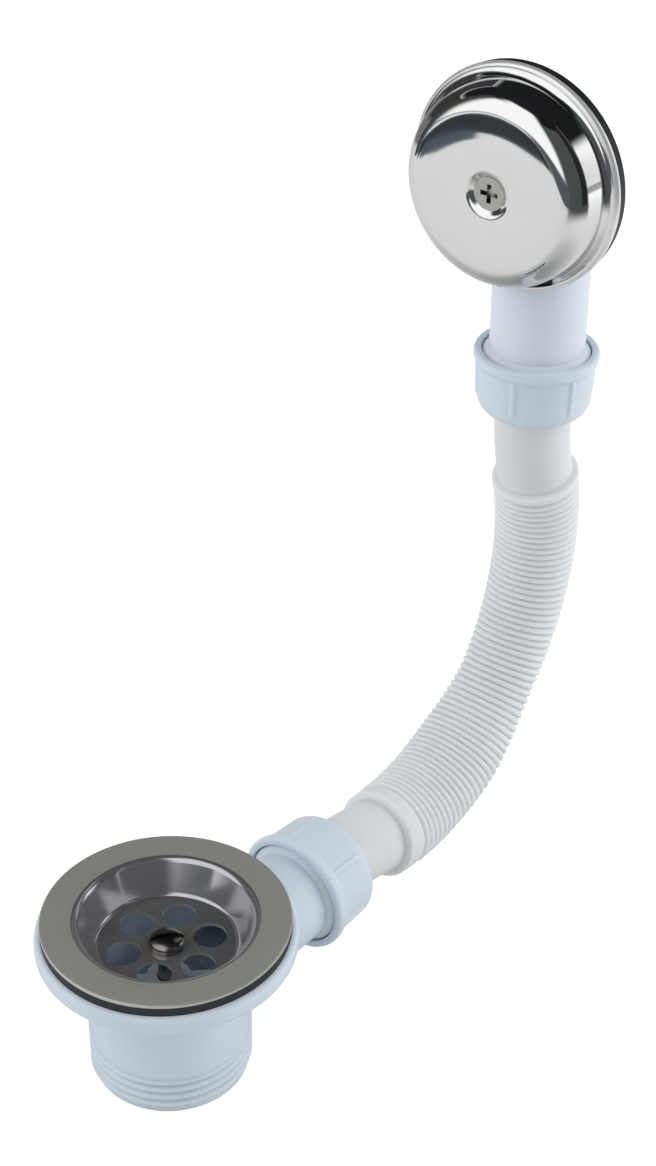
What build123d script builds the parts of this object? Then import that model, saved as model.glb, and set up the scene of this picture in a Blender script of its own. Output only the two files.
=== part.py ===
"""Bath waste and overflow: a strainer waste with a threaded tail, a corrugated hose and an overflow head.

Millimetres, +Z up. The origin is the middle of the tail's open end. +X runs along the side branch towards the
overflow, and the hose bends in the XZ plane. Heights of waste parts are from the seat under the steel flange.
"""
import math
import os

from build123d import *

# Steel strainer
flange_width = 10.5        # from the bowl's mouth to the flange's edge
sheet = 0.9                # pressed stainless sheet
bowl_mouth_dia = 51.0
bowl_depth = 10.3
floor_inset = 0.8          # bowl's floor inside the tail's bore
edge_radius = 0.4
lip_radius = 1.8
floor_radius = 2.2
drain_holes = 6
drain_hole_dia = 10.0
drain_circle_dia = 25.3
drain_turn = 27.0          # first hole, degrees from the branch

# Strainer screw and its brass insert
waste_screw_dia = 6.0
waste_head_dia = 10.5
waste_head_height = 3.4
waste_head_side = 1.2      # straight side under the dome
slot_width = 1.7
slot_depth = 1.5
slot_turn = -39.0          # slot, degrees from the branch
insert_dia = 8.6
insert_length = 7.0
insert_cover = 1.2         # plastic above the insert

# Seal under the steel flange
body_seal_height = 2.9

# Waste body
body_flange_overhang = 1.8  # past the steel flange
body_flange_height = 6.1
body_flange_round = 1.9
neck_radius = 3.0
tail_dia = 47.8            # 1 1/2 inch pipe thread, over the crests
tail_length = 53.0         # below the seat
thread_depth = 1.0
thread_runout = 3.7        # thread fades out over this length, beside the branch
tail_wall = 2.6
spider_ribs = 4
spider_turn = 45.0
spider_rib = 2.2
spider_height = 7.0
spider_drop = 11.0         # below the bowl's floor
boss_wall = 2.2

# Side branch, and the threaded joint that both ends of the hose share
branch_drop = 27.2         # branch axis below the seat
branch_reach = 54.9        # mouth of the branch nut from the waste's axis
spigot_dia = 29.4
spigot_thread_dia = 33.2   # 1 inch pipe thread, over the crests
spigot_thread_length = 11.5
spigot_lead = 1.0          # thread start inside the nut's mouth
spigot_taper = 1.8
mouth_chamfer = 2.5

nut_length = 20.5
nut_wall = 1.2
nut_taper = 0.6            # skirt narrows by this much towards the nut's end
nut_rim_rise = 1.2
nut_rim_height = 2.6
nut_rim_slope = 1.8
nut_corner = 4.4
nut_end_wall = 3.7
nut_ribs = 6
nut_turn = 17.0            # first rib, degrees
nut_rib_width = 1.5
nut_rib_rise = 0.6

chamber_step = 0.9         # seal chamber is this much smaller than the thread
seal_flange = 3.1
ring_height = 1.2

# Hose
cuff_dia = 23.9
hose_bore_dia = 20.4
cuff_entry = 3.0           # cuff past the nut's mouth, into the socket
low_cuff = 20.5            # smooth cuff outside the branch nut
top_cuff = 24.5
low_collar = 8.5
top_collar = 4.8
low_collar_dia = 29.0
top_collar_dia = 27.8
collar_round = 1.4
ridges = 57
ridge_low_dia = 29.6       # crests by the branch, in the stretched middle, and by the overflow
ridge_mid_dia = 25.4
ridge_top_dia = 27.6
ridge_depth = 1.5
stretch_from = 0.24        # shares of the corrugated length where the hose starts to slim and is slimmest
stretch_to = 0.48
sag_angle = 13.7
sag_radius = 60.2
low_bend_angle = 49.4
low_bend_radius = 64.2
top_bend_radius = 82.8
crown_angle = 15.4
crown_radius = 90.6
bore_stations = 22         # rings along the bore, and along each bent cuff
cuff_steps = 5

# Overflow head
head_rise = 61.5           # plate's centre above the mouth of the overflow nut
head_offset = 18.7         # plate's rim in front of the spigot's axis
overflow_turn = 4.2        # plate turned about the spigot, degrees
elbow_wall = 2.5
throat_dia = 46.0
throat_length = 6.0        # straight throat, flange included
elbow_flange_inset = 3.5   # elbow flange inside its seal's edge
elbow_flange_height = 3.0
overflow_seal_inset = 0.5  # seal inside the plate's edge
overflow_seal_height = 3.6

plate_dia = 68.0
plate_sheet = 0.8
plate_rim = 1.6
plate_rim_width = 3.7
plate_lean = 1.9           # side leans in by this much from cove to shoulder
plate_height = 15.4
plate_edge_radius = 0.85
plate_cove_radius = 2.8
plate_shoulder_radius = 7.0
dimple_dia = 13.4
dimple_depth = 3.0
weir_width = 35.0          # slot at the foot of the plate
weir_height = 5.2
overflow_screw_dia = 5.0
overflow_head_dia = 10.0
overflow_insert_dia = 6.8
overflow_insert_length = 6.0
overflow_boss_wall = 1.6
overflow_boss_gap = 9.0    # boss front behind the elbow's front
recess_width = 1.4
recess_length = 5.6
recess_depth = 1.5

# Clearances
slip = 0.3                 # threads and parts that slide over each other
snug = 0.05                # seals on the cuff, inserts in their bosses
bowl_gap = 0.6

os.makedirs("parts", exist_ok=True)


def save(piece, name):
    """Label a finished piece and write it."""
    piece.part.label = name
    export_step(piece.part, f"parts/{name}.step")


def section_of(frame):
    """Plane through a frame's axis: x is the radius, y runs along the axis."""
    return Plane(frame.origin, x_dir=frame.x_dir, z_dir=frame.x_dir.cross(frame.z_dir))


def turn(frame, points, mode=Mode.ADD):
    """Turned solid from (radius, height) corners about a frame's axis."""
    with BuildSketch(section_of(frame)) as profile:
        with BuildLine():
            Polyline(*points, close=True)
        make_face()
    revolve(profile.sketch, axis=Axis(frame.origin, frame.z_dir), mode=mode)


def pressed_sheet(frame, corners, radii, thickness):
    """Turned sheet-metal wall whose mid-line runs through (radius, height) corners."""
    with BuildSketch(section_of(frame)) as wall:
        with BuildLine():
            FilletPolyline(*corners, radius=radii)
        trace(line_width=thickness)
    revolve(wall.sketch, axis=Axis(frame.origin, frame.z_dir))


# Frames: each has its z along the axis of what is turned there
waste = Plane.XY.offset(tail_length)
branch_z = tail_length - branch_drop
branch = Plane((branch_reach, 0, branch_z), x_dir=(0, 1, 0), z_dir=(1, 0, 0))

# Hose route: out of the branch, down in a shallow sag, round and up to the overflow spigot
top_bend_angle = 90 + sag_angle - low_bend_angle + crown_angle
route_start = (branch_reach - cuff_entry, branch_z)
route_nut = (branch_reach + nut_length, branch_z)
with BuildLine(Plane.XZ) as route:
    entry = Line(route_start, route_nut)
    sag = JernArc(entry @ 1, entry % 1, sag_radius, -sag_angle)
    low_bend = JernArc(sag @ 1, sag % 1, low_bend_radius, low_bend_angle)
    top_bend = JernArc(low_bend @ 1, low_bend % 1, top_bend_radius, top_bend_angle)
    crown = JernArc(top_bend @ 1, top_bend % 1, crown_radius, -crown_angle)
    exit_run = Line(crown @ 1, (crown @ 1) + (crown % 1) * (nut_length + cuff_entry))
hose_line = route.wire()
hose_end = crown @ 1
overflow = Plane((hose_end.X, 0, hose_end.Z + nut_length), x_dir=(0, 1, 0), z_dir=(0, 0, -1))

facing = Vector(-1, 0, 0).rotate(Axis.Z, overflow_turn)
head_centre = overflow.origin + Vector(0, 0, head_rise)
head = Plane(head_centre, x_dir=facing.cross(Vector(0, 0, 1)), z_dir=facing)
plate_seat = head.offset(head_offset)
elbow_front = head_offset - overflow_seal_height

# Strainer: flange, bowl and drain holes in one pressing
tail_radius = tail_dia / 2
bore_radius = tail_radius - tail_wall
flange_radius = bowl_mouth_dia / 2 + flange_width
bowl_floor_radius = bore_radius - floor_inset
floor_z = sheet - bowl_depth
half_sheet = sheet / 2
with BuildPart() as strainer:
    pressed_sheet(
        waste,
        [
            (flange_radius, half_sheet),
            (bowl_mouth_dia / 2 + half_sheet, half_sheet),
            (bowl_floor_radius + half_sheet, floor_z - half_sheet),
            (waste_screw_dia / 2 + slip, floor_z - half_sheet),
        ],
        [lip_radius, floor_radius],
        sheet,
    )
    brim = strainer.edges().filter_by(GeomType.CIRCLE).sort_by(lambda edge: edge.radius)[-2:]
    fillet(brim.sort_by(Axis.Z)[-1], edge_radius)
    with BuildSketch(waste.offset(floor_z)):
        with PolarLocations(drain_circle_dia / 2, drain_holes, start_angle=drain_turn):
            Circle(drain_hole_dia / 2)
    extrude(amount=-2 * sheet, mode=Mode.SUBTRACT)
save(strainer, "strainer")

# Strainer screw: raised slotted head and a long shank
spider_top = floor_z - sheet - spider_drop
insert_top = spider_top - insert_cover
waste_tip = insert_top - insert_length
head_radius = waste_head_dia / 2
with BuildPart() as strainer_screw:
    with BuildSketch(section_of(waste)):
        with BuildLine():
            Polyline(
                (0, waste_tip),
                (waste_screw_dia / 2, waste_tip),
                (waste_screw_dia / 2, floor_z),
                (head_radius, floor_z),
                (head_radius, floor_z + waste_head_side),
            )
            EllipticalCenterArc(
                (0, floor_z + waste_head_side),
                head_radius,
                waste_head_height - waste_head_side,
                arc_size=90,
            )
            Line((0, floor_z + waste_head_height), (0, waste_tip))
        make_face()
    revolve(axis=Axis(waste.origin, waste.z_dir))
    with BuildSketch(waste.offset(floor_z + waste_head_height)):
        Rectangle(waste_head_dia + 1, slot_width, rotation=slot_turn)
    extrude(amount=-slot_depth, mode=Mode.SUBTRACT)
save(strainer_screw, "strainer_screw")

# Thick seal between the steel flange and the body
seal_bore = bowl_mouth_dia / 2 + lip_radius + sheet + slip
with BuildPart() as body_seal:
    with BuildSketch(waste):
        Circle(flange_radius - snug)
        Circle(seal_bore, mode=Mode.SUBTRACT)
    extrude(amount=-body_seal_height)
save(body_seal, "body_seal")


def spigot_outside(frame, root):
    """Plain spigot that steps out to its threaded end, from a root behind the nut's mouth."""
    thread = spigot_thread_dia / 2
    turn(
        frame,
        [
            (0, -root),
            (spigot_dia / 2, -root),
            (spigot_dia / 2, spigot_lead - spigot_taper),
            (thread, spigot_lead),
            (thread, spigot_lead + spigot_thread_length),
            (0, spigot_lead + spigot_thread_length),
        ],
    )


def spigot_inside(frame, root):
    """Waterway, socket for the hose cuff and the chamfer that takes the cone seal."""
    mouth = spigot_lead + spigot_thread_length
    socket = cuff_dia / 2 + slip
    shoulder = -cuff_entry - slip
    turn(
        frame,
        [
            (0, -root),
            (hose_bore_dia / 2, -root),
            (hose_bore_dia / 2, shoulder),
            (socket, shoulder),
            (socket, mouth - mouth_chamfer),
            (socket + mouth_chamfer, mouth),
            (0, mouth),
        ],
        mode=Mode.SUBTRACT,
    )


# Waste body: flange, tail, side branch, and a spider with a boss for the screw's insert
body_top = -body_seal_height
flange_under = body_top - body_flange_height
body_flange_radius = flange_radius + body_flange_overhang
thread_root = tail_radius - thread_depth
thread_top = -branch_drop - spigot_dia / 2 - slip
bowl_slope = (bowl_mouth_dia / 2 - bowl_floor_radius) / bowl_depth
bowl_skin = sheet * math.hypot(1, bowl_slope) + bowl_gap
seat_radius = bowl_mouth_dia / 2 - bowl_slope * (sheet - body_top) + bowl_skin
seat_foot = floor_z - sheet - bowl_gap
boss_radius = insert_dia / 2 + boss_wall
boss_foot = waste_tip - insert_cover
with BuildPart() as waste_body:
    turn(
        waste,
        [
            (0, body_top),
            (body_flange_radius, body_top),
            (body_flange_radius, flange_under),
            (tail_radius, flange_under),
            (tail_radius, thread_top + thread_runout),
            (thread_root, thread_top),
            (thread_root, -tail_length),
            (0, -tail_length),
        ],
    )
    rim = waste_body.edges().filter_by(GeomType.CIRCLE).sort_by(lambda edge: edge.radius)[-2:]
    fillet(rim, body_flange_round)
    neck = waste_body.edges().filter_by(GeomType.CIRCLE).filter_by(lambda edge: edge.radius == tail_radius)
    fillet(neck.sort_by(Axis.Z)[-1], neck_radius)
    spigot_outside(branch, branch_reach)
    turn(
        waste,
        [
            (0, body_top),
            (seat_radius, body_top),
            (bore_radius, seat_foot),
            (bore_radius, -tail_length),
            (0, -tail_length),
        ],
        mode=Mode.SUBTRACT,
    )
    spigot_inside(branch, branch_reach)
    with BuildSketch(waste.offset(spider_top)):
        with PolarLocations(0, spider_ribs, start_angle=spider_turn):
            with Locations(((bore_radius + tail_wall / 2) / 2, 0)):
                Rectangle(bore_radius + tail_wall / 2, spider_rib)
    extrude(amount=-spider_height)
    with BuildSketch(waste.offset(spider_top)):
        Circle(boss_radius)
    extrude(amount=boss_foot - spider_top)
    with BuildSketch(waste.offset(spider_top)):
        Circle(waste_screw_dia / 2 + slip)
    extrude(amount=boss_foot - spider_top, mode=Mode.SUBTRACT)
    with BuildSketch(waste.offset(insert_top)):
        Circle(insert_dia / 2)
    extrude(amount=boss_foot - insert_top, mode=Mode.SUBTRACT)
save(waste_body, "waste_body")

# Brass insert moulded into the boss
with BuildPart() as strainer_insert:
    with BuildSketch(waste.offset(insert_top)):
        Circle(insert_dia / 2 - snug)
        Circle(waste_screw_dia / 2 + snug, mode=Mode.SUBTRACT)
    extrude(amount=-insert_length)
save(strainer_insert, "strainer_insert")


def coupling_nut(frame):
    """Hand-tight nut: flared rim, tapered ribbed skirt and a rounded end that the cuff passes through."""
    bore = spigot_thread_dia / 2 + slip
    waist = bore + nut_wall
    rim = waist + nut_rim_rise
    chamber = bore - chamber_step
    inner_end = nut_length - nut_end_wall
    chamber_start = spigot_lead + spigot_thread_length + slip
    with BuildPart() as nut:
        turn(
            frame,
            [
                (bore + slip, 0),
                (rim - 2 * slip, 0),
                (rim, 2 * slip),
                (rim, nut_rim_height),
                (waist, nut_rim_height + nut_rim_slope),
                (waist - nut_taper, nut_length),
                (cuff_dia / 2 + 2 * slip, nut_length),
                (cuff_dia / 2 + 2 * slip, inner_end),
                (chamber, inner_end),
                (chamber, chamber_start),
                (bore, chamber_start),
                (bore, slip),
            ],
        )
        end_face = nut.faces().filter_by(GeomType.PLANE).sort_by(Axis(frame.origin, frame.z_dir))[-1]
        fillet(end_face.edges().sort_by(lambda edge: edge.radius)[-1], nut_corner)
        rib_root = bore + slip
        rib_top = waist + nut_rib_rise
        with BuildSketch(frame.offset(nut_rim_height)):
            with PolarLocations((rib_root + rib_top) / 2, nut_ribs, start_angle=nut_turn):
                Rectangle(rib_top - rib_root, nut_rib_width)
        extrude(amount=nut_length - nut_corner - nut_rim_height)
    return nut


def cone_seal(frame):
    """Rubber ring with a cone that the nut presses into the spigot's mouth."""
    mouth = spigot_lead + spigot_thread_length
    bore = cuff_dia / 2 + snug
    rim = spigot_thread_dia / 2 - chamber_step
    with BuildPart() as seal:
        turn(
            frame,
            [
                (bore, mouth - mouth_chamfer + slip),
                (bore + slip, mouth - mouth_chamfer + slip),
                (cuff_dia / 2 + mouth_chamfer, mouth),
                (rim, mouth),
                (rim, mouth + seal_flange),
                (bore, mouth + seal_flange),
            ],
        )
    return seal


def friction_ring(frame):
    """Slip washer between the seal and the nut's end wall."""
    start = spigot_lead + spigot_thread_length + seal_flange
    with BuildPart() as ring:
        with BuildSketch(frame.offset(start)):
            Circle(spigot_thread_dia / 2 - chamber_step)
            Circle(cuff_dia / 2 + slip, mode=Mode.SUBTRACT)
        extrude(amount=ring_height)
    return ring


for end, frame in (("branch", branch), ("overflow", overflow)):
    save(coupling_nut(frame), f"{end}_nut")
    save(cone_seal(frame), f"{end}_cone_seal")
    save(friction_ring(frame), f"{end}_slip_ring")


# Hose: smooth cuffs and collars, with a corrugated length between them
def hose_plane(distance):
    """Plane across the hose at a distance along its route."""
    here = hose_line.position_at(distance, PositionMode.LENGTH)
    along = hose_line.tangent_at(distance, PositionMode.LENGTH)
    return Plane(here, x_dir=(0, 1, 0), z_dir=along)


def crest_radius(share):
    """Crest radius along the corrugations: full by the branch, slimmer where the hose is stretched."""
    if share < stretch_from:
        return ridge_low_dia / 2
    if share < stretch_to:
        step = (share - stretch_from) / (stretch_to - stretch_from)
        return (ridge_low_dia + (ridge_mid_dia - ridge_low_dia) * step * step * (3 - 2 * step)) / 2
    return (ridge_mid_dia + (ridge_top_dia - ridge_mid_dia) * (share - stretch_to) / (1 - stretch_to)) / 2


hose_length = hose_line.length
inside_nut = cuff_entry + nut_length
low_collar_at = inside_nut + low_cuff
ridges_from = low_collar_at + low_collar
top_collar_at = hose_length - inside_nut - top_cuff
ridges_to = top_collar_at - top_collar
pitch = (ridges_to - ridges_from) / ridges
cuff_radius = cuff_dia / 2

stations = [(0, cuff_radius)]
stations += [(inside_nut + low_cuff * step / cuff_steps, cuff_radius) for step in range(cuff_steps + 1)]
stations += [(low_collar_at + collar_round, low_collar_dia / 2)]
stations += [(ridges_from - collar_round, low_collar_dia / 2)]
for ridge in range(ridges):
    crest = crest_radius((ridge + 0.5) / ridges)
    valley = ridges_from + pitch * ridge
    stations += [(valley, crest - ridge_depth), (valley + pitch / 2, crest)]
stations += [(ridges_to, ridge_top_dia / 2 - ridge_depth)]
stations += [(ridges_to + collar_round, top_collar_dia / 2)]
stations += [(top_collar_at - collar_round, top_collar_dia / 2)]
stations += [(top_collar_at + top_cuff * step / cuff_steps, cuff_radius) for step in range(cuff_steps + 1)]
stations += [(hose_length, cuff_radius)]

bent_length = hose_length - 2 * inside_nut
bore_distances = [inside_nut + bent_length * step / bore_stations for step in range(bore_stations + 1)]
bore_distances = [0, *bore_distances, hose_length]
with BuildPart() as hose:
    for distance, radius in stations:
        with BuildSketch(hose_plane(distance)):
            Circle(radius)
    loft(ruled=True)
    for distance in bore_distances:
        with BuildSketch(hose_plane(distance)):
            Circle(hose_bore_dia / 2)
    loft(ruled=True, mode=Mode.SUBTRACT)
save(hose, "hose")

# Overflow elbow: round-backed bend with a flanged throat, a spigot below and a boss for the plate's screw
def throat(inset):
    """Turned outline of the bend: round back, flare and straight throat, drawn in by an inset."""
    back = spigot_dia / 2 - inset
    side = throat_dia / 2 - inset
    with BuildSketch(section_of(head)) as outline:
        with BuildLine():
            CenterArc((0, 0), back, -90, 90)
            Polyline(
                (back, 0),
                (side, elbow_front - throat_length),
                (side, elbow_front),
                (0, elbow_front),
                (0, -back),
            )
        make_face()
    return outline.sketch


head_axis = Axis(head.origin, head.z_dir)
overflow_seal_radius = plate_dia / 2 - overflow_seal_inset
boss_front = elbow_front - overflow_boss_gap
overflow_boss_radius = overflow_insert_dia / 2 + overflow_boss_wall
with BuildPart() as overflow_elbow:
    revolve(throat(0), axis=head_axis)
    with BuildSketch(head.offset(elbow_front)):
        Circle(overflow_seal_radius - elbow_flange_inset)
    extrude(amount=-elbow_flange_height)
    spigot_outside(overflow, head_rise)
    revolve(throat(elbow_wall), axis=head_axis, mode=Mode.SUBTRACT)
    spigot_inside(overflow, head_rise)
    with BuildSketch(head.offset(boss_front)):
        Circle(overflow_boss_radius)
    extrude(amount=elbow_wall / 2 - spigot_dia / 2 - boss_front)
    with BuildSketch(head.offset(boss_front)):
        Circle(overflow_insert_dia / 2)
    extrude(amount=-overflow_insert_length, mode=Mode.SUBTRACT)
save(overflow_elbow, "overflow_elbow")

with BuildPart() as overflow_insert:
    with BuildSketch(head.offset(boss_front)):
        Circle(overflow_insert_dia / 2 - snug)
        Circle(overflow_screw_dia / 2 + snug, mode=Mode.SUBTRACT)
    extrude(amount=-overflow_insert_length)
save(overflow_insert, "overflow_insert")

with BuildPart() as overflow_seal:
    with BuildSketch(head.offset(elbow_front)):
        Circle(overflow_seal_radius)
        Circle(throat_dia / 2, mode=Mode.SUBTRACT)
    extrude(amount=overflow_seal_height)
save(overflow_seal, "overflow_seal")

# Overflow plate: bell-shaped pressing with a dimple for its screw and a weir at its foot
half_plate = plate_sheet / 2
plate_front = plate_height - half_plate
plate_cove = plate_dia / 2 - plate_rim_width
with BuildPart() as overflow_plate:
    pressed_sheet(
        plate_seat,
        [
            (plate_dia / 2 - half_plate, 0),
            (plate_dia / 2 - half_plate, plate_rim - half_plate),
            (plate_cove, plate_rim - half_plate),
            (plate_cove - plate_lean, plate_front),
            (dimple_dia / 2, plate_front),
            (overflow_screw_dia / 2 + slip, plate_front - dimple_depth),
        ],
        [plate_edge_radius, plate_cove_radius, plate_shoulder_radius, plate_sheet],
        plate_sheet,
    )
    weir = Plane(plate_seat.origin, x_dir=plate_seat.x_dir, z_dir=(0, 0, -1))
    with BuildSketch(weir):
        with Locations((0, -(plate_rim + weir_height / 2))):
            SlotOverall(weir_width, weir_height)
    extrude(amount=plate_dia, mode=Mode.SUBTRACT)
save(overflow_plate, "overflow_plate")

# Overflow screw: flat countersunk head with a cross recess
dimple_slope = dimple_depth / (dimple_dia / 2 - overflow_screw_dia / 2 - slip)
dimple_skin = half_plate * math.hypot(1, dimple_slope) + snug
screw_top = plate_front + dimple_skin - dimple_slope * (dimple_dia - overflow_head_dia) / 2
overflow_head_height = dimple_slope * (overflow_head_dia - overflow_screw_dia) / 2
screw_tip = boss_front - overflow_insert_length - head_offset
with BuildPart() as overflow_screw:
    turn(
        plate_seat,
        [
            (0, screw_tip),
            (overflow_screw_dia / 2, screw_tip),
            (overflow_screw_dia / 2, screw_top - overflow_head_height),
            (overflow_head_dia / 2, screw_top),
            (0, screw_top),
        ],
    )
    with BuildSketch(plate_seat.offset(screw_top)):
        Rectangle(recess_length, recess_width)
        Rectangle(recess_width, recess_length)
    extrude(amount=-recess_depth, mode=Mode.SUBTRACT)
save(overflow_screw, "overflow_screw")

print(f"hose {hose_length:.1f} mm along its middle, ridge pitch {pitch:.2f} mm")
print(f"overflow nut mouth at {overflow.origin}, plate centre at {plate_seat.origin}")
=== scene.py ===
import math

import bmesh
import bpy
from mathutils import Matrix, Vector


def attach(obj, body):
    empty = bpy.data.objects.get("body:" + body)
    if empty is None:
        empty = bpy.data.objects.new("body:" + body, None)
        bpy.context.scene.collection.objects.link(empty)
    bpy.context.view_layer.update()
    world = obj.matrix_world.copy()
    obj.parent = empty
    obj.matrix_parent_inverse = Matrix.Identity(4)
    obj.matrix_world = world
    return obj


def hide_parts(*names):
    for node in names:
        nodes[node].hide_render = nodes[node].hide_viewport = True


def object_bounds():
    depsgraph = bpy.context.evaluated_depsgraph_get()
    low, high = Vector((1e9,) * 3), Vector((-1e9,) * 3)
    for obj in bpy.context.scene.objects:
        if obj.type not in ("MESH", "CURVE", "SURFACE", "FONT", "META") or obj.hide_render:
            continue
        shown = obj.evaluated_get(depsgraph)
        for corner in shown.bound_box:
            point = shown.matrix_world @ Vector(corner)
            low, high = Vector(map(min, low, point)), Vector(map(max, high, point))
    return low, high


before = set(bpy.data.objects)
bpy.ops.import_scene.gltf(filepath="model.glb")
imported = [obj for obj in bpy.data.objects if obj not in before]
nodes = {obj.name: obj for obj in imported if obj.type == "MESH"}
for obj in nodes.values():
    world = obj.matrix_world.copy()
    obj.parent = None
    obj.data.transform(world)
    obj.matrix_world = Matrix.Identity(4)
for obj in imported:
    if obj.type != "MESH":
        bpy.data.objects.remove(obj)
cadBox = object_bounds()
mm = 0.001
print("frame loaded:", len(nodes), "nodes")


# Colours and nodes

def hexColour(code):  # sRGB hex to linear RGBA
    parts = [int(code[i:i + 2], 16) / 255 for i in (1, 3, 5)]
    linear = [p / 12.92 if p <= 0.04045 else ((p + 0.055) / 1.055) ** 2.4 for p in parts]
    return (*linear, 1.0)


def addNode(tree, kind, inputs=None, **settings):  # one node with its settings and links
    made = tree.nodes.new(kind)
    for key, value in settings.items():
        setattr(made, key, value)
    for socket, value in (inputs or {}).items():
        if isinstance(value, bpy.types.NodeSocket):
            tree.links.new(value, made.inputs[socket])
        else:
            made.inputs[socket].default_value = value
    return made


def newMaterial(name):  # an empty material with its output node
    material = bpy.data.materials.new(name)
    material.use_nodes = True
    tree = material.node_tree
    tree.nodes.clear()
    output = tree.nodes.new("ShaderNodeOutputMaterial")
    return material, tree, output


# Moulded polypropylene: smooth, bluish white, light soaks in a little and the gloss is soft
mouldedPolypropylene = {
    "colour": "#D0DBE5", "shade": "#C8D4DF", "cloudMm": 22.0, "grainMm": 0.9, "grainDeepMm": 0.1,
    "roughness": 0.34, "bump": 0.04, "ior": 1.49, "scatter": 0.25, "scatterMm": (2.2, 2.6, 3.2),
}
litPolypropylene = {**mouldedPolypropylene, "colour": "#D8E0EA", "shade": "#D1D9E4"}  # elbow, a paler copy of the same plastic: painted light against the shade under the plate


def makePolypropylene(name, look):
    material, tree, output = newMaterial(name)
    place = addNode(tree, "ShaderNodeTexCoord").outputs["Object"]
    cloud = addNode(tree, "ShaderNodeTexNoise", {
        "Vector": place, "Scale": 1 / (look["cloudMm"] * mm), "Detail": 2.0})
    grain = addNode(tree, "ShaderNodeTexNoise", {
        "Vector": place, "Scale": 1 / (look["grainMm"] * mm), "Detail": 3.0})
    bump = addNode(tree, "ShaderNodeBump", {
        "Height": grain.outputs["Fac"], "Strength": look["bump"], "Distance": look["grainDeepMm"] * mm})
    colour = addNode(tree, "ShaderNodeMix", {
        "Factor": cloud.outputs["Fac"], "A": hexColour(look["colour"]), "B": hexColour(look["shade"]),
    }, data_type="RGBA")
    shader = addNode(tree, "ShaderNodeBsdfPrincipled", {
        "Base Color": colour.outputs["Result"], "Roughness": look["roughness"], "IOR": look["ior"],
        "Normal": bump.outputs["Normal"], "Subsurface Weight": look["scatter"], "Subsurface Scale": mm,
        "Subsurface Radius": look["scatterMm"],
    })
    tree.links.new(shader.outputs["BSDF"], output.inputs["Surface"])
    return material


# Blown polyethylene: milky and warmer than the mouldings, dull gloss
blownPolyethylene = {
    "colour": "#DDE0E2", "shade": "#D6D9DC", "cloudMm": 14.0, "roughness": 0.46, "ior": 1.51,
    "scatter": 0.9, "scatterMm": (4.0, 3.9, 3.8),
}


def makePolyethylene(name, look):
    material, tree, output = newMaterial(name)
    place = addNode(tree, "ShaderNodeTexCoord").outputs["Object"]
    cloud = addNode(tree, "ShaderNodeTexNoise", {
        "Vector": place, "Scale": 1 / (look["cloudMm"] * mm), "Detail": 3.0})
    colour = addNode(tree, "ShaderNodeMix", {
        "Factor": cloud.outputs["Fac"], "A": hexColour(look["colour"]), "B": hexColour(look["shade"]),
    }, data_type="RGBA")
    shader = addNode(tree, "ShaderNodeBsdfPrincipled", {
        "Base Color": colour.outputs["Result"], "Roughness": look["roughness"], "IOR": look["ior"],
        "Subsurface Weight": look["scatter"], "Subsurface Scale": mm, "Subsurface Radius": look["scatterMm"],
    })
    tree.links.new(shader.outputs["BSDF"], output.inputs["Surface"])
    return material


# Stainless and brass: duller finishes scatter part of the light off their scratches, and recesses get painted
# shade
metalLooks = {
    "satin_stainless": {  # belt-ground flange, warm grey
        "colour": "#D2D2CD", "shade": "#C7C8C3", "mirror": 0.75, "roughness": 0.5, "grainMm": 0.5, "bump": 0.08,
    },
    "drawn_stainless": {  # bowl, bright from the press and a little dull
        "colour": "#B9BABD", "shade": "#AFB0B3", "mirror": 0.84, "roughness": 0.13, "grainMm": 1.5, "bump": 0.04,
    },
    "polished_stainless": {  # mirror of the plate
        "colour": "#DEDFDF", "shade": "#D7D8D8", "mirror": 1.0, "roughness": 0.05, "grainMm": 1.2, "bump": 0.02,
    },
    "buffed_highlight_stainless": {  # plate's rim, less sharp than its mirror, with a paler colour as painted highlight
        "colour": "#ECEDED", "shade": "#E5E6E6", "mirror": 0.6, "roughness": 0.28, "grainMm": 0.8, "bump": 0.02,
    },
    "bowl_shaded_stainless": {  # strainer screw, a darker copy of the screw steel: painted shade of the bowl it sits in
        "colour": "#8F8C86", "shade": "#7E7B75", "mirror": 1.0, "roughness": 0.22, "grainMm": 0.4, "bump": 0.05,
        "paintedShadeMm": 1.5,
    },
    "bright_stainless": {  # paler screw in the plate
        "colour": "#C3C2BE", "shade": "#B4B3AE", "mirror": 0.9, "roughness": 0.32, "grainMm": 0.4, "bump": 0.08,
        "paintedShadeMm": 1.6,
    },
    "turned_brass": {  # yellow inserts
        "colour": "#C9A35A", "shade": "#B8924C", "mirror": 1.0, "roughness": 0.25, "grainMm": 0.4, "bump": 0.05,
    },
}
metalSkin = {  # what all the metals share, with the painted shade colour for recesses
    "cloudMm": 18.0, "grainDeepMm": 0.05, "paintedShade": "#242421", "paintedShadeFrom": 0.35, "paintedShadeTo": 0.8,
}


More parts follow.
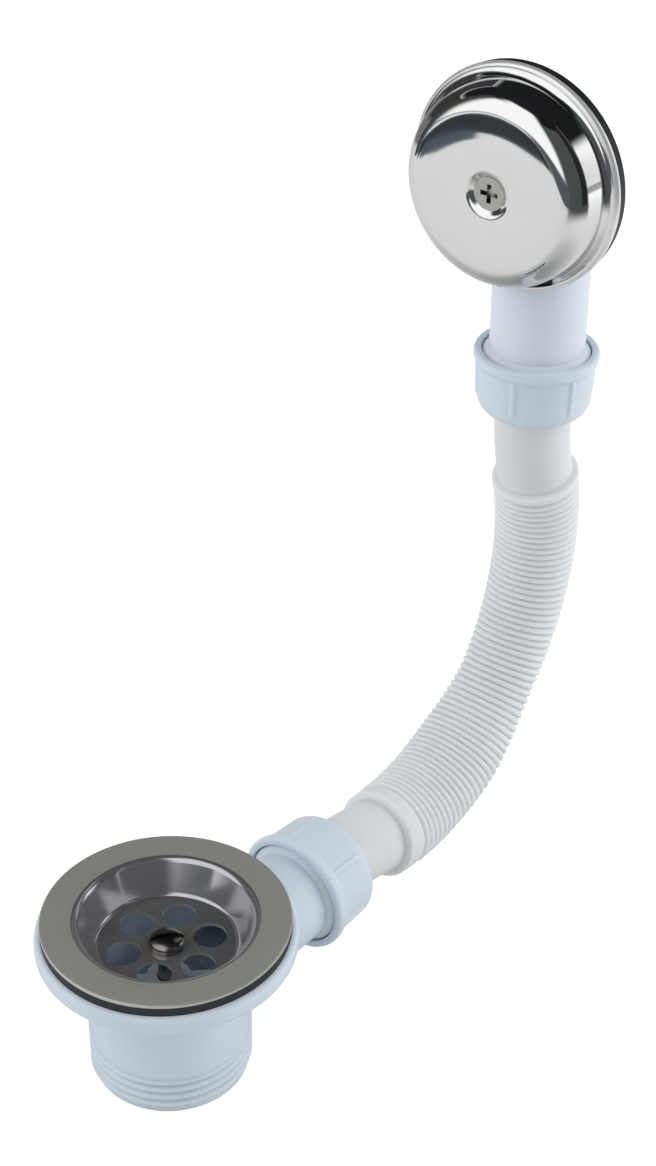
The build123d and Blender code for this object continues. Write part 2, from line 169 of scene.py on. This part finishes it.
def makeMetal(name):
    look = {**metalSkin, **metalLooks[name]}
    material, tree, output = newMaterial(name)
    place = addNode(tree, "ShaderNodeTexCoord").outputs["Object"]
    cloud = addNode(tree, "ShaderNodeTexNoise", {
        "Vector": place, "Scale": 1 / (look["cloudMm"] * mm), "Detail": 2.0})
    grain = addNode(tree, "ShaderNodeTexNoise", {
        "Vector": place, "Scale": 1 / (look["grainMm"] * mm), "Detail": 3.0})
    bump = addNode(tree, "ShaderNodeBump", {
        "Height": grain.outputs["Fac"], "Strength": look["bump"], "Distance": look["grainDeepMm"] * mm})
    colour = addNode(tree, "ShaderNodeMix", {
        "Factor": cloud.outputs["Fac"], "A": hexColour(look["colour"]), "B": hexColour(look["shade"]),
    }, data_type="RGBA")
    if "paintedShadeMm" in look:  # painted shade: corners that little light reaches are painted dark
        reach = addNode(tree, "ShaderNodeAmbientOcclusion", {"Distance": look["paintedShadeMm"] * mm})
        unshaded = addNode(tree, "ShaderNodeMapRange", {
            "Value": reach.outputs["AO"], "From Min": look["paintedShadeFrom"], "From Max": look["paintedShadeTo"]})
        colour = addNode(tree, "ShaderNodeMix", {
            "Factor": unshaded.outputs["Result"], "A": hexColour(look["paintedShade"]), "B": colour.outputs["Result"],
        }, data_type="RGBA")
    shader = addNode(tree, "ShaderNodeBsdfPrincipled", {
        "Base Color": colour.outputs["Result"], "Metallic": look["mirror"], "Roughness": look["roughness"],
        "Normal": bump.outputs["Normal"],
    })
    tree.links.new(shader.outputs["BSDF"], output.inputs["Surface"])
    return material


# Moulded EPDM rubber: near black, faintly blue, satin
mouldedRubber = {
    "colour": "#14181A", "shade": "#1E2325", "grainMm": 0.8, "grainDeepMm": 0.1, "bump": 0.1, "roughness": 0.5,
}


def makeRubber(name, look):
    material, tree, output = newMaterial(name)
    place = addNode(tree, "ShaderNodeTexCoord").outputs["Object"]
    grain = addNode(tree, "ShaderNodeTexNoise", {
        "Vector": place, "Scale": 1 / (look["grainMm"] * mm), "Detail": 3.0})
    bump = addNode(tree, "ShaderNodeBump", {
        "Height": grain.outputs["Fac"], "Strength": look["bump"], "Distance": look["grainDeepMm"] * mm})
    colour = addNode(tree, "ShaderNodeMix", {
        "Factor": grain.outputs["Fac"], "A": hexColour(look["colour"]), "B": hexColour(look["shade"]),
    }, data_type="RGBA")
    shader = addNode(tree, "ShaderNodeBsdfPrincipled", {
        "Base Color": colour.outputs["Result"], "Roughness": look["roughness"], "Normal": bump.outputs["Normal"],
    })
    tree.links.new(shader.outputs["BSDF"], output.inputs["Surface"])
    return material


whitePlastic = makePolypropylene("moulded_polypropylene", mouldedPolypropylene)
elbowLitPlastic = makePolypropylene("lightened_polypropylene", litPolypropylene)
hosePlastic = makePolyethylene("blown_polyethylene", blownPolyethylene)
satinSteel = makeMetal("satin_stainless")
drawnSteel = makeMetal("drawn_stainless")
polishedSteel = makeMetal("polished_stainless")
buffedHighlightSteel = makeMetal("buffed_highlight_stainless")
strainerScrewShadedSteel = makeMetal("bowl_shaded_stainless")
plateScrewSteel = makeMetal("bright_stainless")
turnedBrass = makeMetal("turned_brass")
blackRubber = makeRubber("moulded_epdm_rubber", mouldedRubber)
print("materials made")


# Mesh tools shared by the turned and swept pieces

def ease(share):  # 0 to 1 with soft ends
    share = min(max(share, 0.0), 1.0)
    return share * share * (3 - 2 * share)


def softCorners(points, radii, steps=8):  # polyline with an arc of its own radius at each corner
    line = [Vector(point) for point in points]
    soft = [line[0]]
    for before, corner, after, radius in zip(line, line[1:], line[2:], radii):
        back, ahead = (before - corner).normalized(), (after - corner).normalized()
        half = back.angle(ahead) / 2
        centre = corner + (back + ahead).normalized() * (radius / math.sin(half))
        first = corner + back * (radius / math.tan(half)) - centre
        last = corner + ahead * (radius / math.tan(half)) - centre
        sweep = math.pi - 2 * half
        for step in range(steps + 1):
            share = step / steps
            soft.append(centre + (first * math.sin((1 - share) * sweep) + last * math.sin(share * sweep))
                        / math.sin(sweep))
    return soft + [line[-1]]


def sheetOutline(line, thickness):  # closed outline of sheet metal along its middle line
    sides = []
    for index, point in enumerate(line):
        before, after = line[max(index - 1, 0)], line[min(index + 1, len(line) - 1)]
        along = (after - before).normalized()
        sides.append(Vector((-along.y, along.x)) * (thickness / 2))
    return [p + n for p, n in zip(line, sides)] + [p - n for p, n in zip(reversed(line), reversed(sides))]


weldMm = 0.002
creaseAngle = 38  # degrees, sharper edges keep their crease


def latheShape(outline, segments, place):  # outline in millimetres turned once about Z, then set in its place
    shape = bmesh.new()
    ring = [shape.verts.new((radius * mm, 0, height * mm)) for radius, height in outline]
    edges = [shape.edges.new((one, two)) for one, two in zip(ring, ring[1:] + ring[:1])]
    bmesh.ops.spin(shape, geom=ring + edges, cent=(0, 0, 0), axis=(0, 0, 1), angle=2 * math.pi,
                   steps=segments, use_merge=True)
    bmesh.ops.remove_doubles(shape, verts=shape.verts, dist=weldMm * mm)
    bmesh.ops.recalc_face_normals(shape, faces=shape.faces)
    shape.transform(place)
    return shape


def skinRings(shape, rings):  # a band of faces between each ring of corners and the next
    for one, two in zip(rings, rings[1:]):
        for index in range(len(one)):
            after = (index + 1) % len(one)
            shape.faces.new((one[index], one[after], two[after], two[index]))


def makePiece(name, shape, materials, node=None, sharpAngle=creaseAngle):  # a mesh that rides on the object
    mesh = bpy.data.meshes.new(name)
    shape.to_mesh(mesh)
    shape.free()
    piece = bpy.data.objects.new(name, mesh)
    bpy.context.collection.objects.link(piece)
    for material in materials:
        mesh.materials.append(material)
    smoothPiece(piece, sharpAngle)
    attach(piece, "root")
    if node:
        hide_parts(node)
    return piece


def smoothPiece(piece, sharpAngle):  # smooth shading with creases kept
    piece.data.shade_smooth()
    piece.data.set_sharp_from_angle(angle=math.radians(sharpAngle))


def cutPiece(piece, cutter, sharpAngle=creaseAngle):  # takes the cutter's shape out of a piece
    mesh = bpy.data.meshes.new("cutter")
    cutter.to_mesh(mesh)
    cutter.free()
    tool = bpy.data.objects.new("cutter", mesh)
    bpy.context.collection.objects.link(tool)
    cut = piece.modifiers.new("cut", "BOOLEAN")
    cut.object = tool
    cut.solver = "EXACT"
    solid = piece.evaluated_get(bpy.context.evaluated_depsgraph_get())
    whole = piece.data
    piece.data = bpy.data.meshes.new_from_object(solid)
    piece.modifiers.clear()
    bpy.data.meshes.remove(whole)
    bpy.data.objects.remove(tool)
    bpy.data.meshes.remove(mesh)
    smoothPiece(piece, sharpAngle)


# Hose: cuffs, collars and rounded ridges along the CAD solid's own route, in millimetres
hoseShape = {
    "start": (51.9, 25.8), "straight": 23.5,
    "arcs": ((60.2, -13.7), (64.2, 49.4), (82.8, 69.7), (90.6, -15.4)),  # radius, turn in degrees
    "cuff": 11.95, "bore": 10.2, "lowCuff": 20.5, "topCuff": 24.5, "lowCollar": 8.5, "topCollar": 4.8,
    "lowCollarRadius": 14.5, "topCollarRadius": 13.9, "round": 1.4,
    "ridges": 57, "depth": 1.05, "crests": (14.8, 12.7, 13.8), "stretch": (0.24, 0.48),
    "grooveShape": 0.75,  # under 1 for round crests and narrow grooves
    "entry": 3.0,  # how far a cuff reaches past its nut's mouth
    "ridgeSteps": 8, "cuffSteps": 10, "roundSteps": 8, "lowCollarSteps": 6, "topCollarSteps": 4, "boreSteps": 60,
    "around": 72,
}


def hosePath(look):  # list of (length, radius, turn): straight runs have no radius
    arcs = [(abs(math.radians(turn)) * radius, radius, math.copysign(1, turn)) for radius, turn in look["arcs"]]
    return [(look["straight"], None, 0), *arcs, (look["straight"], None, 0)]


def hoseLength(look):
    return sum(length for length, radius, turn in hosePath(look))


def hosePlace(look, distance):  # point and heading on the route, in the XZ plane
    x, z = look["start"]
    heading = 0.0
    for length, radius, turn in hosePath(look):
        step = min(distance, length)
        if radius is None:
            x, z = x + step * math.cos(heading), z + step * math.sin(heading)
        else:
            middleX, middleZ = x - turn * radius * math.sin(heading), z + turn * radius * math.cos(heading)
            heading += turn * step / radius
            x, z = middleX + turn * radius * math.sin(heading), middleZ - turn * radius * math.cos(heading)
        distance -= step
        if distance <= 0:
            break
    return x, z, heading


def hoseCrest(look, share):  # crest radius at a share of the corrugated length
    low, slim, top = look["crests"]
    start, end = look["stretch"]
    if share < end:
        return low + (slim - low) * ease((share - start) / (end - start))
    return slim + (top - slim) * (share - end) / (1 - end)


def hoseProfile(look):  # (distance, radius) from the branch end to the overflow end
    total = hoseLength(look)
    cuff, soft = look["cuff"], look["round"]
    lowRadius, topRadius = look["lowCollarRadius"], look["topCollarRadius"]
    lowCollar = look["straight"] + look["lowCuff"]
    firstRidge = lowCollar + look["lowCollar"]
    topCollar = total - look["straight"] - look["topCuff"]
    lastRidge = topCollar - look["topCollar"]
    pitch = (lastRidge - firstRidge) / look["ridges"]
    cuffShares = [step / look["cuffSteps"] for step in range(1, look["cuffSteps"] + 1)]
    roundShares = [step / look["roundSteps"] for step in range(1, look["roundSteps"] + 1)]
    profile = [(0.0, cuff), (look["straight"], cuff)]
    profile += [(look["straight"] + look["lowCuff"] * share, cuff) for share in cuffShares]
    profile += [(lowCollar + soft * share, cuff + (lowRadius - cuff) * ease(share)) for share in roundShares]
    for step in range(1, look["lowCollarSteps"] + 1):
        along = (firstRidge - lowCollar - 2 * soft) * step / look["lowCollarSteps"]
        profile.append((lowCollar + soft + along, lowRadius))
    for step in range(look["ridges"] * look["ridgeSteps"] + 1):
        count = step / look["ridgeSteps"]
        crest = hoseCrest(look, count / look["ridges"])
        rise = abs(math.sin(math.pi * count)) ** look["grooveShape"]
        profile.append((firstRidge + pitch * count, crest - look["depth"] * (1 - rise)))
    for step in range(look["topCollarSteps"] + 1):
        along = (topCollar - lastRidge - 2 * soft) * step / look["topCollarSteps"]
        profile.append((lastRidge + soft + along, topRadius))
    profile += [(topCollar - soft + soft * share, topRadius + (cuff - topRadius) * ease(share))
                for share in roundShares]
    profile += [(topCollar + look["topCuff"] * share, cuff) for share in cuffShares]
    return profile + [(total, cuff)]


def hoseRing(look, shape, distance, radius):  # one ring of corners across the route
    x, z, heading = hosePlace(look, distance)
    ring = []
    for index in range(look["around"]):
        angle = 2 * math.pi * index / look["around"]
        out, across = radius * math.sin(angle), radius * math.cos(angle)
        spot = Vector((x - out * math.sin(heading), across, z + out * math.cos(heading)))
        ring.append(shape.verts.new(spot * mm))
    return ring


def makeHose(look):
    outer = hoseProfile(look)
    total = hoseLength(look)
    inner = [(total * (1 - step / look["boreSteps"]), look["bore"]) for step in range(look["boreSteps"] + 1)]
    shape = bmesh.new()
    rings = [hoseRing(look, shape, distance, radius) for distance, radius in outer + inner]
    skinRings(shape, rings + rings[:1])
    bmesh.ops.recalc_face_normals(shape, faces=shape.faces)
    return makePiece("milky_hose", shape, [hosePlastic], "hose", sharpAngle=60)


makeHose(hoseShape)
hoseX, hoseZ = hoseShape["start"]
spigotX, spigotZ = hosePlace(hoseShape, hoseLength(hoseShape))[:2]
print("hose made")


# Tail thread: one rounded ridge wound up the root of the tail, running out at both ends
tailThread = {
    "root": 22.9, "crest": 23.88, "pitch": 2.9, "from": 1.3, "to": 13.4, "foot": 2.3, "top": 0.9,
    "shoulder": 0.75, "flat": 0.3,  # shares of the ridge's rise and top
    "sunk": 0.3, "least": 0.03, "fade": 40.0, "runoutFrom": 10.8, "runoutTo": 14.5, "stepsPerTurn": 90,
}


def makeThread(look):
    turns = (look["to"] - look["from"]) / look["pitch"]
    steps = int(turns * look["stepsPerTurn"])
    shape = bmesh.new()
    rows = []
    for step in range(steps + 1):
        turned = 360 * turns * step / steps
        fade = ease(min(turned, 360 * turns - turned) / look["fade"])
        angle = math.radians(turned)
        height = look["from"] + look["pitch"] * turned / 360
        climb = (height - look["runoutFrom"]) / (look["runoutTo"] - look["runoutFrom"])
        root = look["root"] + (look["crest"] - look["root"]) * max(climb, 0)
        rise = look["least"] + (look["crest"] - root - look["least"]) * fade
        half = [(root + rise, look["top"] * look["flat"]),
                (root + rise * look["shoulder"], look["top"] * look["shoulder"]),
                (root - look["sunk"], look["foot"] / 2)]
        section = [(radius, -lift) for radius, lift in reversed(half)] + half
        row = [Vector((radius * math.cos(angle), radius * math.sin(angle), height + lift))
               for radius, lift in section]
        rows.append([shape.verts.new(spot * mm) for spot in row])
    skinRings(shape, rows)
    shape.faces.new(rows[0])
    shape.faces.new(rows[-1])
    bmesh.ops.recalc_face_normals(shape, faces=shape.faces)
    return makePiece("tail_thread", shape, [whitePlastic], sharpAngle=80)


makeThread(tailThread)
print("thread made")


# Strainer: satin flange, polished lip and bowl, drain holes through the floor
strainerShape = {
    "seat": 53.0, "corners": ((36.0, 0.45), (25.95, 0.45), (20.95, -9.85), (3.3, -9.85)),
    "radii": (1.8, 2.2), "bendSteps": 12, "sheet": 0.9, "edge": 0.4, "edgeSteps": 5, "satinFrom": 27.2,
    "holes": 6, "holeRadius": 5.0, "holeCircle": 12.65, "holeTurn": 27.0, "holeAround": 64, "cutDepth": 3.6,
    "around": 192,
}


def makeStrainer(look):
    place = Matrix.Translation((0, 0, look["seat"] * mm))
    outline = sheetOutline(softCorners(look["corners"], look["radii"], look["bendSteps"]), look["sheet"])
    rim, edge = look["corners"][0][0], look["edge"]
    arc = [math.pi / 2 * step / look["edgeSteps"] for step in range(look["edgeSteps"] + 1)]
    outline[-1:] = [(rim - edge + edge * math.sin(angle), look["sheet"] - edge + edge * math.cos(angle))
                    for angle in arc]  # worn edge
    shape = latheShape(outline, look["around"], place)
    for face in shape.faces:  # the belt only reaches the flat and the outer edge
        spot = face.calc_center_median()
        face.material_index = 0 if spot.to_2d().length > look["satinFrom"] * mm else 1
    piece = makePiece("pressed_strainer", shape, [satinSteel, drawnSteel], "strainer")
    cutter = bmesh.new()
    floor = look["seat"] + look["corners"][-1][1]
    for hole in range(look["holes"]):
        angle = math.radians(look["holeTurn"] + 360 * hole / look["holes"])
        spot = Vector((look["holeCircle"] * math.cos(angle), look["holeCircle"] * math.sin(angle), floor))
        bmesh.ops.create_cone(cutter, cap_ends=True, segments=look["holeAround"], radius1=look["holeRadius"] * mm,
                              radius2=look["holeRadius"] * mm, depth=look["cutDepth"] * mm,
                              matrix=Matrix.Translation(spot * mm))
    cutPiece(piece, cutter)
    return piece


makeStrainer(strainerShape)
print("strainer made")


# Coupling nuts: rolled rim, tapered skirt with slim soft ribs, and a rounded end
nutShape = {
    "corners": ((17.2, 0), (19.3, 0), (19.3, 2.8), (18.1, 4.5), (17.5, 20.5), (12.55, 20.5)),
    "radii": (1.2, 1.6, 1.5, 4.4),
    "inside": ((12.55, 16.8), (16.0, 16.8), (16.0, 12.8), (16.9, 12.8), (16.9, 0.3)),
    "ribs": 6, "ribTurn": 17.0, "ribRise": 0.6, "ribWidth": 1.5, "ribSoft": 0.35, "ribFrom": 3.6, "ribTo": 16.4,
    "ribFades": (1.2, 1.6), "clear": 0.1, "longest": 1.2, "around": 300,
}
nutPlaces = {  # mouth over the hose's cuff, and the way that the axis runs from it
    "branch_nut": ((hoseX + hoseShape["entry"], 0, hoseZ), (1, 0, 0)),
    "overflow_nut": ((spigotX, 0, spigotZ - hoseShape["entry"]), (0, 0, -1)),
}


def nutRib(look, radius, angle, height):  # how far the skirt rises into a rib
    pitch = 2 * math.pi / look["ribs"]
    aside = abs((angle - math.radians(look["ribTurn"]) + pitch / 2) % pitch - pitch / 2) * radius
    soft = look["ribSoft"]
    across = ease((look["ribWidth"] / 2 + soft - aside) / (2 * soft))
    low, top = look["ribFades"]
    along = ease((height - look["ribFrom"]) / low) * ease((look["ribTo"] - height) / top)
    return look["ribRise"] * across * along


def makeNut(look, node, mouth, axis):
    line = softCorners(look["corners"], look["radii"]) + [Vector(p) for p in look["inside"]]
    outline = []
    for one, two in zip(line, line[1:] + line[:1]):  # long sides are split, so that the ribs have corners to lift
        pieces = max(1, math.ceil((two - one).length / look["longest"]))
        outline += [one.lerp(two, step / pieces) for step in range(pieces)]
    shape = latheShape(outline, look["around"], Matrix())
    skirt = look["inside"][-1][0] + look["clear"]
    for vert in shape.verts:
        radius, height = vert.co.to_2d().length / mm, vert.co.z / mm
        if radius > skirt:
            rise = nutRib(look, radius, math.atan2(vert.co.y, vert.co.x), height)
            vert.co.x *= 1 + rise / radius
            vert.co.y *= 1 + rise / radius
    first, axis = Vector((0, 1, 0)), Vector(axis)
    axes = Matrix((first, axis.cross(first), axis)).transposed().to_4x4()
    shape.transform(Matrix.Translation(Vector(mouth) * mm) @ axes)
    return makePiece("moulded_" + node, shape, [whitePlastic], node)


for node, (mouth, axis) in nutPlaces.items():
    makeNut(nutShape, node, mouth, axis)
print("nuts made")


# Overflow plate: polished bell with a screw dimple and a weir slot at its foot
plateShape = {
    "nutMouth": nutPlaces["overflow_nut"][0], "rise": 61.5, "offset": 18.7, "turn": 4.2,  # from nut to seat
    "corners": ((33.59, 0), (33.59, 1.2), (30.3, 1.2), (28.4, 14.5), (18.6, 15.0), (6.7, 15.0), (2.8, 12.0)),
    "radii": (0.85, 2.8, 6.2, 130.0, 2.2), "bendSteps": 14, "sheet": 0.8, "around": 256,
    "weirWidth": 35.0, "weirFrom": 0.7, "weirTo": 6.8, "weirSteps": 60,
    "weirRadii": (20.0, 32.4), "weirLeast": 0.02,  # slot reaches into the rim's flat
    "rimFrom": 30.9, "rimTo": 1.6,  # buffed rim with painted highlight: inner radius and height
}


def platePlace(look):  # Z out of the plate's face, X to its side, Y up
    turn = math.radians(look["turn"])
    facing = Vector((-math.cos(turn), -math.sin(turn), 0))
    up = Vector((0, 0, 1))
    axes = Matrix((up.cross(facing), up, facing)).transposed()
    seat = Vector(look["nutMouth"]) + facing * look["offset"] + up * look["rise"]
    return Matrix.Translation(seat * mm) @ axes.to_4x4()


def makePlate(look):
    place = platePlace(look)
    outline = sheetOutline(softCorners(look["corners"], look["radii"], look["bendSteps"]), look["sheet"])
    piece = makePiece("pressed_plate", latheShape(outline, look["around"], place),
                      [polishedSteel, buffedHighlightSteel], "overflow_plate")
    cutter = bmesh.new()
    inner, outer = look["weirRadii"]
    low, high = look["weirFrom"], look["weirTo"]
    end = (high - low) / 2
    columns = []
    for step in range(look["weirSteps"] + 1):  # round-ended slot, a column of corners for each step along it
        along = look["weirWidth"] / 2 * math.sin(math.pi * (step / look["weirSteps"] - 0.5))
        past = max(abs(along) - look["weirWidth"] / 2 + end, 0)
        half = max(math.sqrt(max(end * end - past * past, 0)), look["weirLeast"])
        angle = along / outer - math.pi / 2
        column = [Vector((radius * math.cos(angle), radius * math.sin(angle), low + end + lift))
                  for radius, lift in ((inner, -half), (outer, -half), (outer, half), (inner, half))]
        columns.append([cutter.verts.new(spot * mm) for spot in column])
    skinRings(cutter, columns)
    cutter.faces.new(columns[0])
    cutter.faces.new(columns[-1])
    bmesh.ops.recalc_face_normals(cutter, faces=cutter.faces)
    cutter.transform(place)
    cutPiece(piece, cutter)
    for face in piece.data.polygons:
        spot = place.inverted() @ face.center / mm
        face.material_index = 1 if spot.z < look["rimTo"] and spot.to_2d().length > look["rimFrom"] else 0
    return piece


makePlate(plateShape)
print("plate made")


# CAD nodes keep their solids and take the materials
finishes = {
    "waste_body": whitePlastic, "overflow_elbow": elbowLitPlastic,
    "branch_slip_ring": hosePlastic, "overflow_slip_ring": hosePlastic,
    "strainer_screw": strainerScrewShadedSteel, "overflow_screw": plateScrewSteel,
    "strainer_insert": turnedBrass, "overflow_insert": turnedBrass,
    "body_seal": blackRubber, "overflow_seal": blackRubber,
    "branch_cone_seal": blackRubber, "overflow_cone_seal": blackRubber,
}
for name, material in finishes.items():
    for slot in nodes[name].material_slots:
        slot.material = material
print("CAD nodes dressed")


# Studio: pale floor, white surround and soft lamps
studio = {
    "floorSize": 6.0, "floorColour": "#F2F2F2", "floorGlow": 0.42,
    "footShadeColour": "#B4B4B4", "footShadeReach": (0.08, 0.3),  # painted shade: paper that mirrors see darker round the foot
    "skyLight": 0.62, "mirrorLight": 1.3,
    "keyPlace": (-0.9, 0.9, 0.8), "keySize": 1.1, "keyPower": 8.5,
    "fillPlace": (1.0, -1.1, 0.8), "fillSize": 1.2, "fillPower": 12.0,
}


def makeFloor(look, middle):
    half = look["floorSize"] / 2
    shape = bmesh.new()
    corners = ((-half, -half, 0), (half, -half, 0), (half, half, 0), (-half, half, 0))
    shape.faces.new([shape.verts.new(corner) for corner in corners])
    mesh = bpy.data.meshes.new("studio_floor")
    shape.to_mesh(mesh)
    shape.free()
    floor = bpy.data.objects.new("studio_floor", mesh)
    bpy.context.collection.objects.link(floor)
    material, tree, output = newMaterial("matt_paper_floor")
    path = addNode(tree, "ShaderNodeLightPath").outputs
    seen = addNode(tree, "ShaderNodeMath", {0: path["Is Camera Ray"], 1: path["Is Transmission Ray"]},
                   operation="MAXIMUM")
    glow = addNode(tree, "ShaderNodeMath", {0: seen.outputs[0], 1: look["floorGlow"]}, operation="MULTIPLY")
    spot = addNode(tree, "ShaderNodeNewGeometry").outputs
    away = addNode(tree, "ShaderNodeVectorMath", {0: spot["Position"], 1: (middle.x, middle.y, 0)},
                   operation="DISTANCE")
    # painted shade: glossy rays see the paper darker near the object's foot
    near, far = look["footShadeReach"]
    shaded = addNode(tree, "ShaderNodeMapRange", {
        "Value": away.outputs["Value"], "From Min": far, "From Max": near})
    foot = addNode(tree, "ShaderNodeMath", {0: shaded.outputs[0], 1: path["Is Glossy Ray"]},
                   operation="MULTIPLY")
    colour = addNode(tree, "ShaderNodeMix", {
        "Factor": foot.outputs[0], "A": hexColour(look["floorColour"]), "B": hexColour(look["footShadeColour"]),
    }, data_type="RGBA")
    paper = addNode(tree, "ShaderNodeBsdfDiffuse", {"Color": colour.outputs["Result"]})
    light = addNode(tree, "ShaderNodeEmission", {"Color": (1, 1, 1, 1), "Strength": glow.outputs[0]})
    both = addNode(tree, "ShaderNodeAddShader", {0: paper.outputs[0], 1: light.outputs[0]})
    clear = addNode(tree, "ShaderNodeBsdfTransparent")
    topOnly = addNode(tree, "ShaderNodeMixShader", {
        0: spot["Backfacing"], 1: both.outputs[0], 2: clear.outputs[0]})  # clear from below, to show the underside
    tree.links.new(topOnly.outputs[0], output.inputs["Surface"])
    mesh.materials.append(material)


def makeSurround(look):
    world = bpy.data.worlds.new("white_surround")
    bpy.context.scene.world = world
    world.use_nodes = True
    tree = world.node_tree
    tree.nodes.clear()
    path = addNode(tree, "ShaderNodeLightPath").outputs
    seen = addNode(tree, "ShaderNodeMath", {0: path["Is Camera Ray"], 1: path["Is Glossy Ray"]},
                   operation="MAXIMUM")
    seen = addNode(tree, "ShaderNodeMath", {0: seen.outputs[0], 1: path["Is Transmission Ray"]},
                   operation="MAXIMUM")
    soft = addNode(tree, "ShaderNodeBackground", {"Color": (1, 1, 1, 1), "Strength": look["skyLight"]})
    white = addNode(tree, "ShaderNodeBackground", {"Color": (1, 1, 1, 1), "Strength": look["mirrorLight"]})
    either = addNode(tree, "ShaderNodeMixShader", {0: seen.outputs[0], 1: soft.outputs[0], 2: white.outputs[0]})
    addNode(tree, "ShaderNodeOutputWorld", {"Surface": either.outputs[0]})


# Cards of matt paper stand round the set, out of the picture, and give the bright metal its dark reflections
# Headings run from +Y towards +X. Then come elevations, distance, colour and soft edges: left, right, low, high
paperCards = {
    "card_behind_camera": ((-180.0, -112.0), (-17.0, 57.0), 0.78, "#585A5C", (0, 13, 0, 0)),
    "card_behind_low": ((-219.0, -108.0), (-29.0, -14.0), 0.47, "#585A5C", (6, 20, 12, 0)),
    "card_right": ((-222.0, -176.0), (-20.0, 57.0), 0.62, "#2E3032", (11, 6, 6, 0)),
    "card_left_mid": ((-121.0, -74.0), (-18.4, 1.0), 0.70, "#62666A", (0, 4, 0, 6)),
    "card_left_low": ((-78.0, -38.0), (-18.0, -8.0), 0.70, "#3C4247", (4, 0, 0, 5)),
    "card_left_floor": ((-63.2, -48.0), (-19.4, -16.0), 0.62, "#5A626B", (0, 4, 0, 2)),
    "card_far_left": ((-50.0, -20.0), (-16.0, 58.0), 0.76, "#4A4C4F", (18, 0, 0, 0)),
    "card_far_side": ((-24.0, 144.0), (25.0, 57.0), 0.90, "#202224", (0, 0, 10, 0)),
    "card_far_low": ((-22.0, 123.0), (1.0, 30.0), 0.92, "#42403D", (0, 10, 4, 0)),
    "card_far_floor": ((-22.0, 123.0), (-13.0, 4.0), 0.94, "#88878A", (0, 10, 3, 0)),
    "card_overhead": ((-180.0, 180.0), (65.0, 90.0), 0.90, "#26282B", (0, 0, 9, 0)),
    "card_over_far": ((-66.0, 248.0), (54.0, 74.0), 0.88, "#202224", (34, 14, 3, 0)),
}
cardSteps = 36


def makeCard(name, centre, headings, elevations, distance, colour, soft):
    shape = bmesh.new()
    cover = shape.verts.layers.float.new("cover")
    rows = []
    for row in range(cardSteps + 1):
        up = (elevations[1] - elevations[0]) * row / cardSteps
        elevation = math.radians(elevations[0] + up)
        line = []
        for column in range(cardSteps + 1):
            along = (headings[1] - headings[0]) * column / cardSteps
            heading = math.radians(headings[0] + along)
            level = math.cos(elevation)
            ahead = Vector((level * math.sin(heading), level * math.cos(heading), math.sin(elevation)))
            spot = shape.verts.new(centre + ahead * distance)
            edges = (along, headings[1] - headings[0] - along, up, elevations[1] - elevations[0] - up)
            spot[cover] = min([ease(inside / fade) for inside, fade in zip(edges, soft) if fade] or [1.0])
            line.append(spot)
        rows.append(line)
    for one, two in zip(rows, rows[1:]):
        for index in range(cardSteps):
            shape.faces.new((one[index], one[index + 1], two[index + 1], two[index]))
    mesh = bpy.data.meshes.new(name)
    shape.to_mesh(mesh)
    shape.free()
    material, tree, output = newMaterial("matt_paper_" + name)
    paper = addNode(tree, "ShaderNodeBsdfDiffuse", {"Color": hexColour(colour)})
    clear = addNode(tree, "ShaderNodeBsdfTransparent")
    solid = addNode(tree, "ShaderNodeAttribute", attribute_name="cover")
    faded = addNode(tree, "ShaderNodeMixShader", {
        0: solid.outputs["Fac"], 1: clear.outputs[0], 2: paper.outputs[0]})
    tree.links.new(faded.outputs[0], output.inputs["Surface"])
    mesh.materials.append(material)
    card = bpy.data.objects.new(name, mesh)
    bpy.context.collection.objects.link(card)
    card.visible_camera = False  # only mirrors see the cards
    card.visible_diffuse = False
    card.visible_shadow = False


def makeLamp(name, place, size, power, aim):
    data = bpy.data.lights.new(name, "AREA")
    data.shape = "DISK"
    data.size = size
    data.energy = power
    lamp = bpy.data.objects.new(name, data)
    lamp.location = place
    lamp.rotation_euler = (Vector(aim) - Vector(place)).to_track_quat("-Z", "Y").to_euler()
    lamp.visible_glossy = False  # mirrors see the white surround in its place
    bpy.context.collection.objects.link(lamp)


middle = (cadBox[0] + cadBox[1]) / 2
makeFloor(studio, middle)
makeSurround(studio)
plateCentre = platePlace(plateShape).translation
for name, card in paperCards.items():
    makeCard(name, plateCentre, *card)
makeLamp("key_softbox", studio["keyPlace"], studio["keySize"], studio["keyPower"], middle)
makeLamp("fill_softbox", studio["fillPlace"], studio["fillSize"], studio["fillPower"], middle)
print("studio lit")


# Camera at the photograph's place: heading from +Y towards +X, pitch down, roll about the view
photoCamera = {
    "place": (-0.3394, -0.3381, 0.4805), "heading": 50.53, "pitch": 33.26, "roll": -0.46, "viewAngle": 29.32,
    "sensor": 36.0,
}


def makeCamera(look):
    heading, pitch, roll = (math.radians(look[key]) for key in ("heading", "pitch", "roll"))
    level, drop = math.cos(pitch), math.sin(pitch)
    ahead = Vector((level * math.sin(heading), level * math.cos(heading), -drop))
    side = Vector((math.cos(heading), -math.sin(heading), 0))
    down = Vector((-drop * math.sin(heading), -drop * math.cos(heading), -level))
    right = side * math.cos(roll) + down * math.sin(roll)
    up = side * math.sin(roll) - down * math.cos(roll)
    data = bpy.data.cameras.new("photo_camera")
    data.sensor_width = look["sensor"]
    data.lens = data.sensor_width / 2 / math.tan(math.radians(look["viewAngle"]) / 2)
    camera = bpy.data.objects.new("photo_camera", data)
    turn = Matrix((right, up, -ahead)).transposed()
    camera.matrix_world = Matrix.Translation(look["place"]) @ turn.to_4x4()
    bpy.context.collection.objects.link(camera)
    bpy.context.scene.camera = camera


makeCamera(photoCamera)
bpy.context.scene.view_settings.view_transform = "Standard"
print("camera set")
